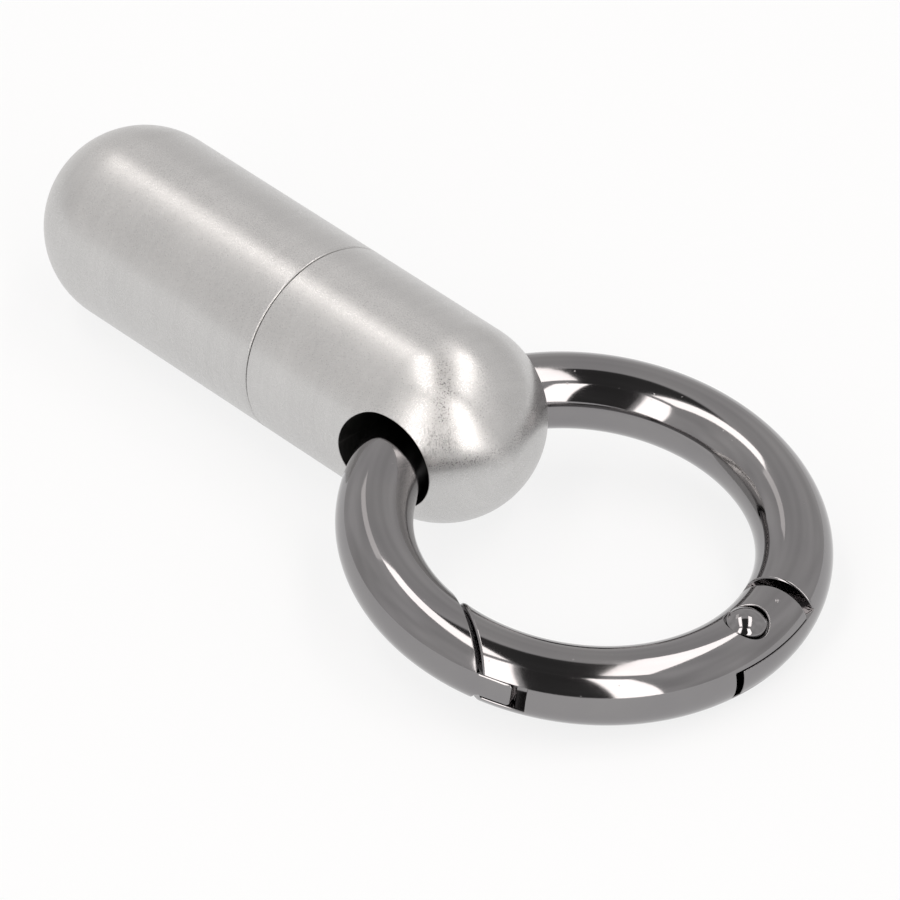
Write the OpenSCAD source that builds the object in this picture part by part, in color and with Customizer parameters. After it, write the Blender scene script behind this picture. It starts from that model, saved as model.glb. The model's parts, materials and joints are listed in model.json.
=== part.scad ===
// Pill fob keychain: a two-piece steel capsule that unscrews, hung on a spring gate ring.
// All sizes in millimetres. The fob lies on the plane z = 0, with the capsule's axis along X
// and the ring at the +X end. The ring droops about the cross hole until it touches the plane.

/* [Capsule] */
// Outside diameter of the capsule
capsule_d = 15.4; // [13:0.1:20]
// Length of the pill body, from the seam to the tip of its dome
pill_len = 28; // [22:0.5:60]
// Length of the cap, from the seam to the tip of its dome
cap_len = 21; // [19:0.5:30]
// Diameter of the space for pills
cavity_d = 9.8; // [7:0.1:10]
// Open line between the two rims
seam_gap = 0.06; // [0.02:0.01:0.2]
// Broken edge on each rim at the seam
seam_break = 0.12; // [0.05:0.01:0.3]
// Broken edge round the neck's mouth, inside and outside
mouth_break = 0.35; // [0.1:0.05:0.4]

/* [Neck and cap bore] */
// How far the neck stands out past the seam
neck_len = 6.4; // [5:0.1:8]
// Diameter of the neck at the root of its thread
thread_root_d = 11.8; // [11.6:0.1:12]
// Diameter of the cap's bore, at the bottom of its thread groove
cap_bore_d = 12.5; // [12.4:0.05:12.9]
// Space left between the neck's mouth and the end of the cap's bore
bore_end_gap = 0.7; // [0.3:0.1:1.5]
// Diameter of the two collars that hold the seal
collar_d = 12.6; // [12.4:0.05:12.8]
// Width of each collar
collar_w = 0.5; // [0.3:0.05:0.8]
// How far the wide part of the cap's bore runs past the inner collar
wide_bore_past = 0.3; // [0.1:0.05:0.5]

/* [Neck seal] */
// Thickness of the rubber ring
seal_wire_d = 1; // [0.8:0.05:1.1]
// How far the rubber ring stands proud of the collars
seal_proud = 0.2; // [0.1:0.05:0.3]
// Space beside the rubber ring in its groove, on each side
seal_side_gap = 0.1; // [0.05:0.05:0.3]
// Space under the rubber ring in its groove
seal_seat_gap = 0.02; // [0.01:0.01:0.05]
// Space between the rubber ring and the cap's wide bore
seal_lip_gap = 0.06; // [0.03:0.01:0.15]

/* [Cross hole] */
// Diameter of the hole through the cap
hole_d = 7.9; // [7.8:0.1:9]
// Distance from the hole's middle to the tip of the cap's dome
hole_from_tip = 6.8; // [6:0.1:9]

/* [Spring gate ring] */
// Inside diameter of the ring
ring_id = 25; // [24:0.5:32]
// Thickness of the ring's wire
wire_d = 5.7; // [5:0.1:5.9]
// Distance from the hole's axis to the ring's middle
hang = 14.5; // [13.5:0.1:19]

/* [Gate hinge] */
// Where the rivet stands on the ring, in degrees from its far end
pivot_a = 5.5; // [0:0.5:12]
// Thickness of the tongue between the gate's two ears
tongue_t = 2.25; // [1.8:0.05:2.6]
// Running space beside the tongue, on each side
tongue_gap = 0.075; // [0.04:0.005:0.15]
// From the rivet to the end of the gate's ears, in degrees
ear_span = 15.8; // [14:0.1:18]
// Open gap between the ears and the frame's shoulder, in degrees
ear_gap = 2.9; // [2.5:0.1:4]
// From the rivet to the tongue's end, in degrees
tongue_span = 8.9; // [8:0.1:9.5]
// Open gap past the tongue's end, in degrees
tongue_end_gap = 2.2; // [1.8:0.1:3]
// Distance from the rivet's axis to the flat that the plunger presses
cam_reach = 1.75; // [1.5:0.05:1.9]
// How far the flat's two corners are taken off
cam_corner = 0.5; // [0.3:0.05:0.6]

/* [Rivet] */
// Diameter of the rivet's shank
rivet_d = 1.8; // [1.4:0.1:2]
// Diameter of the rivet's domed heads
head_d = 2.9; // [2.5:0.1:3.2]
// Height of the dome on each head
head_dome = 0.5; // [0.3:0.05:0.6]
// Depth of each head's recess below the top of the wire
recess_depth = 0.85; // [0.7:0.05:1]
// Space round each head in its recess
recess_gap = 0.16; // [0.1:0.02:0.3]
// How far the heads stay below the top of the wire
head_sink = 0.05; // [0.02:0.01:0.2]
// Broken edge round the end of the ears
wire_break = 0.18; // [0.05:0.01:0.3]
// Space round the shank in the gate's ears
rivet_ear_gap = 0.015; // [0.01:0.005:0.04]
// Space round the shank in the tongue
rivet_run_gap = 0.04; // [0.02:0.01:0.08]

/* [Latch] */
// Where the slanted cut crosses the middle of the wire, in degrees from the ring's far end
latch_a = 76.3; // [70:0.1:84]
// Slant of the cut from straight across the wire, in degrees
latch_slant = 48.8; // [42:0.1:52]
// Open gap in the slanted cut
latch_gap = 0.3; // [0.2:0.05:0.5]
// Where the frame's lip ends, in degrees from the ring's far end
lip_end_a = 59.8; // [58:0.1:62]
// Open gap past the lip's end, in degrees
lip_end_gap = 3.6; // [3.4:0.1:5]
// Height of the lip
lip_h = 1.95; // [1.6:0.05:2.1]
// How far the lip's middle stands above the middle of the wire
lip_rise = 0.17; // [0:0.01:0.2]
// Depth of the lip at the middle of the wire, inwards from the wire's outer side
lip_depth = 1.12; // [0.9:0.01:1.15]
// Radius of the lip's two outer corners
lip_corner = 0.3; // [0.1:0.05:0.6]
// Space above the lip
lip_top_gap = 0.1; // [0.05:0.01:0.2]
// Space below the lip
lip_under_gap = 0.25; // [0.1:0.01:0.4]
// Space behind the lip
lip_back_gap = 0.15; // [0.1:0.01:0.25]

/* [Gate spring and plunger] */
// Offset of the spring's bore from the rivet's axis, towards the ring's middle
bore_offset = 1; // [0.8:0.05:1.2]
// Diameter of the spring's bore
spring_bore_d = 1.8; // [1.7:0.05:2]
// Distance from the rivet's axis to the end of the spring's bore
bore_reach = 8; // [7.5:0.1:8.5]
// Diameter of the plunger's head
plunger_d = 1.7; // [1.5:0.05:1.75]
// Length of the plunger's head, with its round end
plunger_head_len = 2; // [1.8:0.1:2.2]
// Diameter of the plunger's tail inside the spring
plunger_tail_d = 0.75; // [0.6:0.05:0.8]
// Length of the plunger's tail
plunger_tail_len = 1.7; // [1:0.1:2]
// Running space between the plunger and the tongue
plunger_gap = 0.03; // [0.02:0.01:0.1]
// Outside diameter of the spring
spring_d = 1.6; // [1.5:0.02:1.64]
// Thickness of the spring's wire
spring_wire_d = 0.28; // [0.2:0.02:0.3]
// Curls in the spring
spring_curls = 5; // [3:1:5]
// Space at each end of the spring
spring_end_gap = 0.02; // [0.01:0.01:0.05]

/* [Hidden] */

steel = [0.80, 0.79, 0.77];
gunmetal = [0.42, 0.41, 0.42];
rubber_black = [0.08, 0.08, 0.08];
spring_steel = [0.62, 0.62, 0.60];

$fn = 96;
// Overlap that carries a cut clear of a face
over = 1;

// Capsule, measured along its axis from the seam
capsule_r = capsule_d / 2;
cavity_r = cavity_d / 2;
half_seam = seam_gap / 2;
hole_x = cap_len - hole_from_tip;
bore_depth = neck_len + bore_end_gap;

// Seal and its groove
seal_r = seal_wire_d / 2;
groove_w = seal_wire_d + 2 * seal_side_gap;
groove_start = collar_w + half_seam;
groove_end = groove_start + groove_w;
neck_thread_start = groove_end + collar_w;
seal_x = groove_start + groove_w / 2;
seal_mid_r = collar_d / 2 + seal_proud - seal_r;
groove_r = seal_mid_r - seal_r - seal_seat_gap;
wide_bore_r = seal_mid_r + seal_r + seal_lip_gap;
wide_bore_end = neck_thread_start + wide_bore_past;

// Ring
wire_r = wire_d / 2;
ring_r = ring_id / 2 + wire_r;
ring_out = ring_r + wire_r;
// The ring droops until the far side of its wire touches the plane the capsule lies on
droop = asin((capsule_r - wire_r) / (hang + ring_r));
ring_far_x = hole_x + (hang + ring_r) * cos(droop) + wire_r;
mid_x = (ring_far_x - pill_len) / 2;

// Hinge
ear_end = pivot_a + ear_span;
shoulder = ear_end + ear_gap;
tongue_end = pivot_a - tongue_span;
fork_end = tongue_end - tongue_end_gap;
fork_h = tongue_t + 2 * tongue_gap;
head_top = wire_r - head_sink;
recess_floor = wire_r - recess_depth;
recess_d = head_d + 2 * recess_gap;

// Latch: the cut runs along a line at this angle, and its offset is measured square to that line
cut_a = latch_slant - latch_a;
cut_n = [-sin(cut_a), cos(cut_a)];
cut_t = [cos(cut_a), sin(cut_a)];
cut_off = ring_r * [cos(latch_a), -sin(latch_a)] * cut_n;
lip_in_r = ring_out - lip_depth;
lip_low = lip_rise - lip_h / 2;
lip_high = lip_rise + lip_h / 2;

// Spring and plunger, measured from the rivet's axis along the bore
tip_at = cam_reach + plunger_gap;
spring_from = tip_at + plunger_head_len + spring_end_gap;
spring_to = bore_reach - spring_end_gap;
coil_r = (spring_d - spring_wire_d) / 2;
spring_leg = spring_wire_d;
coil_from = spring_from + spring_leg;
coil_len = spring_to - spring_leg - coil_from;
rings_per_curl = 8;

// Puts a piece drawn from the seam, along Z, onto the capsule's axis
module on_axis() {
    translate([-mid_x, 0, capsule_r]) rotate([0, 90, 0]) children();
}

// Puts a piece drawn flat about the ring's middle where the ring hangs, its far end towards +X
module on_ring() {
    translate([hole_x - mid_x, 0, capsule_r]) rotate([0, droop, 0]) translate([hang, 0, 0]) children();
}

// Puts a piece drawn about the rivet's axis on the ring: X outwards, Y towards the shoulder
module on_pivot() {
    rotate([0, 0, pivot_a]) translate([ring_r, 0, 0]) children();
}

// Half of a capsule's outline with one round end, from the rim at h = 0 to the tip at h = len
module half_capsule(len) {
    translate([0, half_seam]) square([capsule_r - seam_break, seam_break]);
    polygon([[0, half_seam], [capsule_r - seam_break, half_seam], [capsule_r, half_seam + seam_break],
             [0, half_seam + seam_break]]);
    translate([0, half_seam + seam_break]) square([capsule_r, len - capsule_r - half_seam - seam_break]);
    intersection() {
        translate([0, len - capsule_r]) circle(capsule_r);
        translate([0, len - capsule_r]) square([capsule_r, capsule_r]);
    }
}

// The neck's outline: two collars with the seal's groove between them, then the thread's root
module neck_outline() {
    root_r = thread_root_d / 2;
    translate([0, -half_seam - over]) square([groove_r, groove_end + half_seam + over]);
    translate([0, -half_seam - over]) square([collar_d / 2, groove_start + half_seam + over]);
    translate([0, groove_end]) square([collar_d / 2, collar_w]);
    polygon([[0, groove_end], [root_r, groove_end], [root_r, neck_len - mouth_break],
             [root_r - mouth_break, neck_len], [0, neck_len]]);
}

module pill_body() {
    color(steel) on_axis() rotate_extrude() difference() {
        union() {
            mirror([0, 1]) half_capsule(pill_len);
            neck_outline();
        }
        translate([0, capsule_r - pill_len]) intersection() {
            circle(cavity_r);
            translate([0, -cavity_r]) square([cavity_r, cavity_r]);
        }
        translate([0, capsule_r - pill_len]) square([cavity_r, pill_len + neck_len]);
        polygon([[0, neck_len - mouth_break], [cavity_r, neck_len - mouth_break],
                 [cavity_r + mouth_break + over, neck_len + over], [0, neck_len + over]]);
    }
}

// The cap's bore: wide over the seal, with a short cone down to the thread
module cap_bore_outline() {
    bore_r = cap_bore_d / 2;
    translate([0, -over]) square([wide_bore_r, wide_bore_end + over]);
    polygon([[0, wide_bore_end], [wide_bore_r, wide_bore_end],
             [bore_r, wide_bore_end + wide_bore_r - bore_r], [bore_r, bore_depth], [0, bore_depth]]);
    polygon([[0, -over], [wide_bore_r + seam_break + over, -over], [wide_bore_r, half_seam + seam_break],
             [0, half_seam + seam_break]]);
}

module cap() {
    color(steel) difference() {
        on_axis() rotate_extrude() difference() {
            half_capsule(cap_len);
            cap_bore_outline();
        }
        translate([hole_x - mid_x, 0, capsule_r]) rotate([90, 0, 0])
            cylinder(d = hole_d, h = capsule_d + 2 * over, center = true);
    }
}

module neck_seal() {
    color(rubber_black) on_axis() translate([0, 0, seal_x]) rotate_extrude()
        translate([seal_mid_r, 0]) circle(seal_r);
}

// The whole ring of wire, before it is cut into frame and gate
module wire_ring() {
    rotate_extrude() translate([ring_r, 0]) circle(wire_r);
}

// A point at a radius and an angle from the ring's far end
function polar(r, a) = r * [cos(a), sin(a)];

// A point on the slanted cut, some way along it and some way off it
function on_cut(along, off) = (cut_off + off) * cut_n + along * cut_t;

// The gate's share of the ring, seen from above, between the slanted cut and an angle at the hinge
module gate_share(off, hinge_a) {
    inner = ring_id / 4;
    outer = 2 * ring_out;
    // Far enough along the cut to start inside the ring's hole
    start = 4;
    linear_extrude(height = 2 * wire_d, center = true)
        polygon([on_cut(start, off), on_cut(outer, off), polar(outer, -latch_a / 2), polar(outer, 0),
                 polar(outer, hinge_a), polar(inner, hinge_a), polar(inner, -latch_a / 2)]);
}

// The tongue seen from above: the outer end is square to the wire, and the inner end steps back to
// the flat for the plunger, with its corner taken off to let the gate swing
module tongue_share() {
    end_r = ring_out + over;
    shift = [ring_r, 0];
    corner = polar(end_r, -tongue_span) - shift;
    heel = polar(ring_r + cam_corner / 2, -tongue_span) - shift;
    inside = wire_r + over;
    root_y = ring_r * sin(shoulder - pivot_a) + over;
    linear_extrude(height = tongue_t, center = true)
        polygon([[corner[0], root_y], corner, heel, [-cam_corner, -cam_reach],
                 [-wire_r + cam_corner, -cam_reach], [-inside, -cam_reach + 2 * cam_corner],
                 [-inside, root_y]]);
}

// The lip seen from the side, with its two outer corners rounded, then cut to its depth
module lip_share() {
    mid_a = (latch_a + lip_end_a) / 2;
    lip_len = 2 * ring_out * sin((latch_a - lip_end_a) / 2);
    tip = lip_len / 2;
    difference() {
        rotate([0, 0, -mid_a]) translate([ring_r, 0, 0]) rotate([90, 0, 90])
            linear_extrude(height = wire_d) {
                translate([-lip_len, lip_low]) square([lip_len + tip - lip_corner, lip_h]);
                translate([-lip_len, lip_low + lip_corner]) square([lip_len + tip, lip_h - 2 * lip_corner]);
                for (z = [lip_low + lip_corner, lip_high - lip_corner])
                    translate([tip - lip_corner, z]) circle(lip_corner);
            }
        cylinder(r = lip_in_r, h = 2 * wire_d, center = true);
    }
}

module ring_frame() {
    color(gunmetal) on_ring() difference() {
        wire_ring();
        difference() {
            gate_share(-latch_gap / 2, shoulder);
            on_pivot() tongue_share();
            lip_share();
        }
        on_pivot() cylinder(d = rivet_d + 2 * rivet_run_gap, h = wire_d + over, center = true);
    }
}

// What the broken edge takes off the ears' end. Its cone runs on past the end and past the wire, so
// that it crosses the flat and the round and doesn't just touch them.
module ear_break() {
    rotate([0, 0, ear_end]) translate([ring_r, 0, 0]) rotate([90, 0, 0]) difference() {
        translate([0, 0, -over]) cylinder(r = wire_r + 2 * over, h = wire_break + 2 * over);
        translate([0, 0, -2 * over])
            cylinder(r1 = wire_r - wire_break - 2 * over, r2 = wire_r + 2 * over, h = wire_break + 4 * over);
    }
}

// The fork between the gate's ears
module fork() {
    reach = 2 * ring_out;
    linear_extrude(height = fork_h, center = true)
        polygon([[0, 0], polar(reach, fork_end), polar(reach, shoulder), polar(reach, shoulder + ear_span)]);
}

// The pocket that takes the frame's lip
module lip_pocket() {
    reach = 2 * ring_out;
    low = lip_low - lip_under_gap;
    difference() {
        translate([0, 0, low]) linear_extrude(height = lip_high + lip_top_gap - low)
            polygon([[0, 0], polar(reach, -latch_a - 2 * latch_slant / 3), polar(reach, -latch_a),
                     polar(reach, lip_end_gap - lip_end_a)]);
        cylinder(r = lip_in_r - lip_back_gap, h = 2 * wire_d, center = true);
    }
}

module rivet_recess() {
    for (side = [0, 1]) mirror([0, 0, side]) translate([0, 0, recess_floor])
        cylinder(d = recess_d, h = recess_depth + over);
}

module spring_bore() {
    translate([-bore_offset, 0, 0]) rotate([90, 0, 0]) cylinder(d = spring_bore_d, h = bore_reach);
}

module ring_gate() {
    color(gunmetal) on_ring() difference() {
        intersection() {
            wire_ring();
            gate_share(latch_gap / 2, ear_end);
        }
        fork();
        lip_pocket();
        ear_break();
        on_pivot() {
            cylinder(d = rivet_d + 2 * rivet_ear_gap, h = wire_d + over, center = true);
            rivet_recess();
            spring_bore();
        }
    }
}

// Each head is a short rim with a dome, whose ball has the radius that gives its height
module rivet_head() {
    head_r = head_d / 2;
    ball_r = (head_r * head_r + head_dome * head_dome) / (2 * head_dome);
    intersection() {
        translate([0, 0, recess_floor]) cylinder(d = head_d, h = head_top - recess_floor);
        translate([0, 0, head_top - ball_r]) sphere(ball_r);
    }
}

module hinge_rivet() {
    color(gunmetal) on_ring() on_pivot() {
        cylinder(d = rivet_d, h = 2 * recess_floor + head_dome, center = true);
        for (side = [0, 1]) mirror([0, 0, side]) rivet_head();
    }
}

// The plunger: a round-ended head in the bore, with a tail inside the spring
module spring_plunger() {
    r = plunger_d / 2;
    color(spring_steel) on_ring() on_pivot() translate([-bore_offset, -tip_at, 0]) rotate([90, 0, 0])
        rotate_extrude() {
            intersection() {
                translate([0, r]) circle(r);
                square([r, r]);
            }
            translate([0, r]) square([r, plunger_head_len - r]);
            translate([0, r]) square([plunger_tail_d / 2, plunger_head_len + plunger_tail_len - r]);
        }
}

// The spring's middle line: a straight leg at each end, square to what it meets, and the curls between
function coil_point(turn) = [coil_r * cos(360 * turn), coil_r * sin(360 * turn),
                             coil_from + coil_len * turn / spring_curls];
coil_steps = spring_curls * rings_per_curl;
spring_path = concat([[coil_r, 0, spring_from]],
                     [for (i = [0 : coil_steps]) coil_point(i / rings_per_curl)],
                     [[coil_r, 0, spring_to]]);

function unit(v) = v / norm(v);
// The direction of the wire at a point: along the legs at both ends, along the curls between
function heading(i) = i == 0 || i == len(spring_path) - 1
    ? [0, 0, 1]
    : unit(spring_path[i + 1] - spring_path[i - 1]);
// A ring of the tube: six points round the wire, the first one turned outwards from the coil
function wire_ring_points(i) =
    let (h = heading(i), p = spring_path[i], out = unit([p[0], p[1], 0]),
         a = unit(out - (out * h) * h), b = cross(h, a))
    [for (k = [0 : 5]) p + spring_wire_d / 2 * (cos(60 * k) * a + sin(60 * k) * b)];

module gate_spring() {
    n = len(spring_path);
    points = [for (i = [0 : n - 1]) each wire_ring_points(i)];
    sides = [for (i = [0 : n - 2], k = [0 : 5]) let (a = 6 * i + k, b = 6 * i + (k + 1) % 6)
             each [[a, b, b + 6], [a, b + 6, a + 6]]];
    caps = [for (k = [1 : 4]) each [[0, k + 1, k], [6 * n - 6, 6 * n - 6 + k, 6 * n - 5 + k]]];
    color(spring_steel) on_ring() on_pivot() translate([-bore_offset, 0, 0]) rotate([90, 0, 0])
        polyhedron(points, concat(sides, caps));
}

// The least gap between two curls, measured on points at least half a curl apart along the wire
self_gap = min([for (i = [0 : coil_steps], j = [i + rings_per_curl / 2 : 1 : coil_steps])
                norm(coil_point(i / rings_per_curl) - coil_point(j / rings_per_curl))]) - spring_wire_d;
echo(spring_gap_to_itself = self_gap);

pill_body();
cap();
neck_seal();
ring_frame();
ring_gate();
hinge_rivet();
gate_spring();
spring_plunger();
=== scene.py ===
# Pill fob keychain: the looks of its eight pieces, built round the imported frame.
import bpy
import json
import math
from mathutils import Matrix, Vector


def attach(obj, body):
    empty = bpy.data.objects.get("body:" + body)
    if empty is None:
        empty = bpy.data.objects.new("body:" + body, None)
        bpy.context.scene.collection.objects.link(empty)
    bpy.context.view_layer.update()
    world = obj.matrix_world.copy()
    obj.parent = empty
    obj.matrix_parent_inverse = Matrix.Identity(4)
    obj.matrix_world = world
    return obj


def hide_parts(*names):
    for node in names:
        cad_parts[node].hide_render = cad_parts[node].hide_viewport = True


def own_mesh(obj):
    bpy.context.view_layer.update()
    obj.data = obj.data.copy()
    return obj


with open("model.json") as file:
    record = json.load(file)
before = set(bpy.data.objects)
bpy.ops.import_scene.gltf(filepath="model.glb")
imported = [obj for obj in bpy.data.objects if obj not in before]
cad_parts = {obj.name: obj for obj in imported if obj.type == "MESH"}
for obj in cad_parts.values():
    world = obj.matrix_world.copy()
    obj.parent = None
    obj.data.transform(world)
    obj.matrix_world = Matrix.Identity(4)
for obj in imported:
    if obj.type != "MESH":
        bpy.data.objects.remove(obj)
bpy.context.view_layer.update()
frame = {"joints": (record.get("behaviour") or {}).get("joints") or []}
bpy.ops.object.select_all(action='DESELECT')

# Sizes are in millimetres, in the capsule's or the ring's own frame, until a piece is settled.
MM = 0.001
joints = {joint["name"]: joint for joint in frame["joints"]}

# Capsule: heights run from the seam, towards the cap
CAPSULE_R, CAPSULE_STEPS = 7.7, 192
PILL_LEN, CAP_LEN = 28, 21
CAVITY_R = 4.9
HALF_SEAM = 0.03
SEAM_BREAK = 0.12
NECK_LEN, NECK_R, MOUTH_BREAK = 6.4, 5.9, 0.35
COLLAR_R, COLLAR_W = 6.3, 0.5
GROOVE_R, GROOVE_START, GROOVE_END = 5.48, 0.53, 1.73
WIDE_BORE_R, WIDE_BORE_END = 6.56, 2.53
BORE_R, BORE_DEPTH = 6.25, 7.1
SEAL_MID_R, SEAL_R = 6.0, 0.5
HOLE_R, HOLE_UP, HOLE_ROUND, HOLE_STEPS = 3.95, 14.2, 0.08, 128
THREAD_PITCH, THREAD_DEPTH = 1.0, 0.3
THREAD_ROOT, THREAD_CREST = 0.40, 0.09

# Ring: angles are in degrees from its far end, and heights run from the middle of the wire
RING_R, WIRE_R = 15.35, 2.85
HANG = 14.5
PIVOT_A = 5.5
EAR_END, SHOULDER = 21.3, 24.2
TONGUE_END, FORK_END = -3.4, -5.6
TONGUE_H, FORK_H = 1.125, 1.2
CAM_REACH, CAM_CORNER = 1.75, 0.5
RIVET_R, HEAD_R, HEAD_TOP, HEAD_RISE = 0.9, 1.5, 3.3, 0.75
TAIL_HEAD_TOP, TAIL_HEAD_RISE = 2.8, 0.5
FRAME_PLAY, GATE_PLAY, HEAD_PLAY = 0.04, 0.015, 0.01
RECESS_FLOOR, RECESS_R = 2.0, 1.61
LATCH_A, LATCH_SLANT, LATCH_GAP = 76.3, 48.8, 0.3
LIP_END, POCKET_END = 59.8, 56.2
LIP_LOW, LIP_HIGH, LIP_CORNER, LIP_IN_R = -0.805, 1.145, 0.3, 17.08
POCKET_LOW, POCKET_HIGH, POCKET_IN_R = -1.055, 1.175, 16.93
NUB_A, NUB_TURN, NUB_BALL, NUB_PROUD = 16.9, 79, 0.35, 0.07
BORE_OFFSET, SPRING_BORE_R, BORE_REACH = 1.0, 0.9, 8.0
PLUNGER_R, PLUNGER_TIP, PLUNGER_HEAD = 0.85, 1.78, 2.0
TAIL_R, TAIL_LEN = 0.375, 1.7
COIL_R, SPRING_WIRE_R, SPRING_FROM, SPRING_TO = 0.66, 0.14, 3.8, 7.98

# Radii of the rounded edges on the frame and on the gate
SHOULDER_ROUND, LATCH_ROUND, LIP_ROUND = 0.15, 0.1, 0.12
TONGUE_SIDE_ROUND, TONGUE_END_ROUND = 0.05, 0.07
EAR_ROUND, CHEEK_ROUND, FORK_ROUND, RECESS_ROUND = 0.3, 0.34, 0.07, 0.1
POCKET_TOP_ROUND, POCKET_ROUND = 0.05, 0.12

SEAM = Vector(joints["unscrew"]["pos_m"])
HOLE = Vector(joints["ring_swing"]["pos_m"])
RING_UP = -Vector(joints["gate_open"]["axis"])
DROOP = math.atan2(RING_UP.x, RING_UP.z)
ROW_FROM_CAPSULE = Matrix.Translation(SEAM) @ Matrix.Rotation(math.radians(90), 4, 'Y') @ Matrix.Scale(MM, 4)
ROW_FROM_RING = (Matrix.Translation(HOLE) @ Matrix.Rotation(DROOP, 4, 'Y')
                 @ Matrix.Translation((HANG * MM, 0, 0)) @ Matrix.Scale(MM, 4))
RING_FROM_PIVOT = Matrix.Rotation(math.radians(PIVOT_A), 4, 'Z') @ Matrix.Translation((RING_R, 0, 0))
PIVOT = RING_FROM_PIVOT.translation
# The spring's bore: its axis runs along Z here, away from the rivet
RING_FROM_BORE = (RING_FROM_PIVOT @ Matrix.Translation((-BORE_OFFSET, 0, 0))
                  @ Matrix.Rotation(math.radians(90), 4, 'X'))

# Marks that a face carries while its piece is cut: outer skin, cut face, rounded edge
SKIN, CUT, EDGE = 0, 1, 2
marks = [bpy.data.materials.new(name) for name in ("mark_skin", "mark_cut", "mark_edge")]
# How far a cutter runs clear of what it cuts
CLEAR = 1.0


# Shaping
def mark_faces(piece, mark):
    """Gives the piece the three marks and sets all its faces to one of them."""
    piece.data.materials.clear()
    for material in marks:
        piece.data.materials.append(material)
    piece.data.polygons.foreach_set("material_index", [mark] * len(piece.data.polygons))
    return piece


def new_piece(name, mark=CUT):
    """Names the object that an operator has just added and applies its place."""
    piece = bpy.context.object
    piece.name = name
    bpy.ops.object.transform_apply(location=True, rotation=True, scale=True)
    return mark_faces(piece, mark)


def outline(points):
    """Draws a line of edges through points (radius, height) in the XZ plane, left open in edit mode."""
    bpy.ops.mesh.primitive_plane_add(size=0.1, location=(points[0][0], 0, points[0][1]))
    bpy.ops.object.mode_set(mode='EDIT')
    bpy.ops.mesh.merge(type='CENTER')
    for (r0, z0), (r1, z1) in zip(points, points[1:]):
        bpy.ops.mesh.extrude_region_move(TRANSFORM_OT_translate={"value": (r1 - r0, 0, z1 - z0)})


def turned(name, points, steps, mark=SKIN):
    """A turned piece: its outline goes from pole to pole, or closes on itself, and is spun about Z."""
    outline(points)
    bpy.ops.mesh.select_all(action='SELECT')
    bpy.ops.mesh.spin(steps=steps, angle=2 * math.pi, center=(0, 0, 0), axis=(0, 0, 1))
    bpy.ops.mesh.select_all(action='SELECT')
    bpy.ops.mesh.remove_doubles(threshold=1e-4)
    bpy.ops.mesh.normals_make_consistent(inside=False)
    bpy.ops.object.mode_set(mode='OBJECT')
    return new_piece(name, mark)


def prism(points, low, high):
    """A flat-sided block with the outline of points seen from above, between two heights."""
    bpy.ops.mesh.primitive_circle_add(vertices=len(points), fill_type='NGON')
    block = bpy.context.object
    for vertex, point in zip(block.data.vertices, points):
        vertex.co = (*point, low)
    bpy.ops.object.mode_set(mode='EDIT')
    bpy.ops.mesh.select_all(action='SELECT')
    bpy.ops.mesh.extrude_region_move(TRANSFORM_OT_translate={"value": (0, 0, high - low)})
    bpy.ops.mesh.select_all(action='SELECT')
    bpy.ops.mesh.normals_make_consistent(inside=False)
    bpy.ops.object.mode_set(mode='OBJECT')
    return new_piece("block")


def rod(radius, low, high, place=Matrix.Identity(4), sides=64):
    """A round cutter about Z between two heights, put in place by a matrix."""
    bpy.ops.mesh.primitive_cylinder_add(vertices=sides, radius=radius, depth=high - low,
                                        location=(0, 0, (low + high) / 2))
    piece = new_piece("rod")
    piece.data.transform(place)
    return piece


def loft(name, sections, closed=False, edge_sides=(), mark=CUT):
    """Joins cross-sections of equally many points into a tube, closed in a ring or with flat ends."""
    count, sides = len(sections), len(sections[0])
    faces, face_marks = [], []
    for i in range(count if closed else count - 1):
        here, there = i * sides, (i + 1) % count * sides
        for k in range(sides):
            after = (k + 1) % sides
            faces.append((here + k, here + after, there + after, there + k))
            face_marks.append(EDGE if k in edge_sides else mark)
    if not closed:
        faces += [tuple(range(sides))[::-1], tuple(range((count - 1) * sides, count * sides))]
        face_marks += [mark, mark]
    mesh = bpy.data.meshes.new(name)
    mesh.from_pydata([tuple(p) for section in sections for p in section], [], faces)
    piece = bpy.data.objects.new(name, mesh)
    bpy.context.scene.collection.objects.link(piece)
    mark_faces(piece, mark)
    mesh.polygons.foreach_set("material_index", face_marks)
    with_focus(piece)
    bpy.ops.object.mode_set(mode='EDIT')
    bpy.ops.mesh.select_all(action='SELECT')
    bpy.ops.mesh.normals_make_consistent(inside=False)
    bpy.ops.object.mode_set(mode='OBJECT')
    return piece


def with_focus(piece):
    """Makes the piece the only one selected and the active one."""
    bpy.ops.object.select_all(action='DESELECT')
    piece.select_set(True)
    bpy.context.view_layer.objects.active = piece


def combine(piece, other, operation):
    """Cuts, joins or keeps what two closed solids share, and uses the second one up."""
    with_focus(piece)
    step = piece.modifiers.new("step", 'BOOLEAN')
    step.object = other
    step.operation = operation
    step.solver = 'MANIFOLD'
    step.material_mode = 'TRANSFER'
    bpy.ops.object.modifier_apply(modifier=step.name)
    bpy.data.objects.remove(other)
    order = {material.name: i for i, material in enumerate(marks)}
    names = [material.name for material in piece.data.materials]
    found = [order[names[p.material_index]] for p in piece.data.polygons]
    mark_faces(piece, SKIN)
    piece.data.polygons.foreach_set("material_index", found)
    return piece


def cut(piece, *cutters):
    """Takes each cutter out of the piece."""
    for cutter in cutters:
        combine(piece, cutter, 'DIFFERENCE')
    return piece


def rounder(edge, radius, closed=False):
    """A cutter that rounds an edge in three narrow flats. Edge lists (point, normal, other normal)."""
    run = 0.35 + radius
    sections = []
    for point, first, second in edge:
        out = (first + second).normalized()
        half = first.angle(second) / 2
        middle = point - out * radius / math.cos(half)
        arc = [middle + radius * first.slerp(second, k / 3) for k in range(4)]
        start = arc[0] + (arc[0] - arc[1]).normalized() * run
        end = arc[3] + (arc[3] - arc[2]).normalized() * run
        sections.append([start, arc[1], arc[2], end, point + out * run])
    return loft("rounder", sections, closed, edge_sides=(0, 1, 2))


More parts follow.
